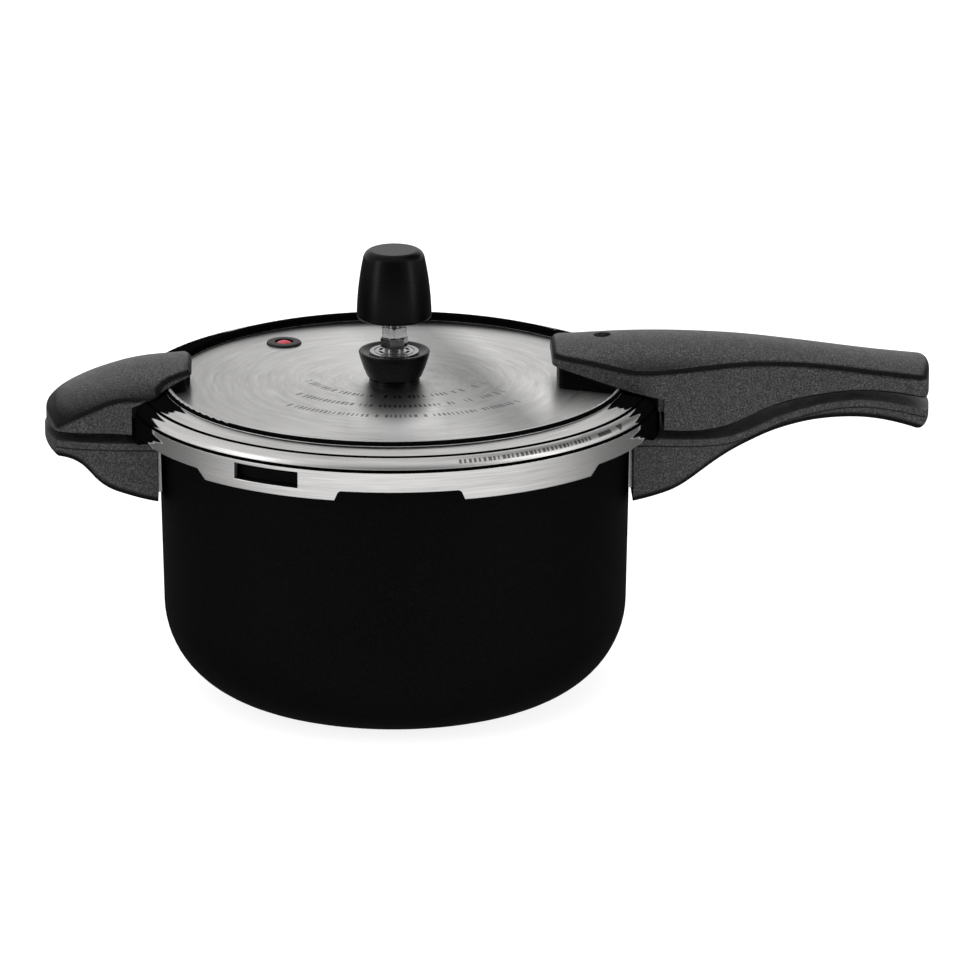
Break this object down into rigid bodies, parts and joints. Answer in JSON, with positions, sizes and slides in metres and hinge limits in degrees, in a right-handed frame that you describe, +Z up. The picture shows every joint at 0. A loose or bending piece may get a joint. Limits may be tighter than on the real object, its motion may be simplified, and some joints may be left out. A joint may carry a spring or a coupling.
{
  "type": "stovetop pressure cooker",
  "caption": "Black stovetop pressure cooker with a brushed twist-lock lid, long and helper handles, weighted vent valve and a red safety button.",
  "frame": {"origin": "centre of the flat base, on the surface the pot stands on", "axes": "+Z up along the pot's axis, +X along the long handles"},
  "size_m": [0.3876, 0.2326, 0.1974],
  "materials": {
    "pot_coating": "fine pebbled black non-stick coating",
    "phenolic": "finely speckled charcoal phenolic",
    "brushed_lid": "circular brushed steel with black grooves",
    "bright_steel": "polished",
    "rivet_aluminium": "satin",
    "silicone": "satin grey",
    "black_rubber": "satin",
    "brass": "turned",
    "black_plastic": "fine satin black",
    "red_silicone": "satin"
  },
  "bodies": {
    "pot": {"pot_body": "pot_coating", "pot_long_handle": "phenolic", "pot_helper_handle": "phenolic", "pot_long_handle_bracket": "bright_steel", "pot_helper_handle_bracket": "bright_steel", "pot_handle_rivets": "rivet_aluminium", "pot_handle_screws": "bright_steel"},
    "lid": {"lid_shell": "brushed_lid", "lid_skirt": "brushed_lid", "lid_gasket": "silicone", "lid_long_handle": "phenolic", "lid_helper_handle": "phenolic", "lid_handle_inserts": "brass", "lid_handle_seals": "silicone", "lid_handle_screws": "bright_steel", "vent_stub": "bright_steel", "vent_pipe": "bright_steel", "vent_stop_nut": "bright_steel", "vent_lock_nut": "bright_steel", "vent_seal": "silicone", "vent_foot_nut": "bright_steel", "valve_cup": "black_plastic", "valve_disc": "bright_steel", "safety_seat": "black_rubber", "pin_bush": "bright_steel"},
    "needle": {"valve_needle": "bright_steel"},
    "weight": {"weight_core": "bright_steel", "weight_cap": "black_plastic", "weight_ring": "bright_steel"},
    "button": {"safety_button": "red_silicone"},
    "indicator": {"pressure_pin": "bright_steel", "pin_seal": "silicone"}
  },
  "joints": [
    {"name": "lid_twist", "type": "hinge", "parent": "pot", "child": "lid", "pos_m": [0, 0, 0.125], "axis": [0, 0, 1], "range_deg": [0, 30]},
    {"name": "weight_lift", "type": "slide", "parent": "lid", "child": "needle", "axis": [0, 0, 1], "range_m": [0, 0.012]},
    {"name": "weight_spin", "type": "hinge", "parent": "needle", "child": "weight", "pos_m": [0, 0, 0.18], "axis": [0, 0, 1], "continuous": true},
    {"name": "safety_pop", "type": "slide", "parent": "lid", "child": "button", "axis": [0, 0, 1], "range_m": [0, 0.0035]},
    {"name": "pressure_pin_rise", "type": "slide", "parent": "lid", "child": "indicator", "axis": [0, 0, 1], "range_m": [0, 0.0025]}
  ]
}
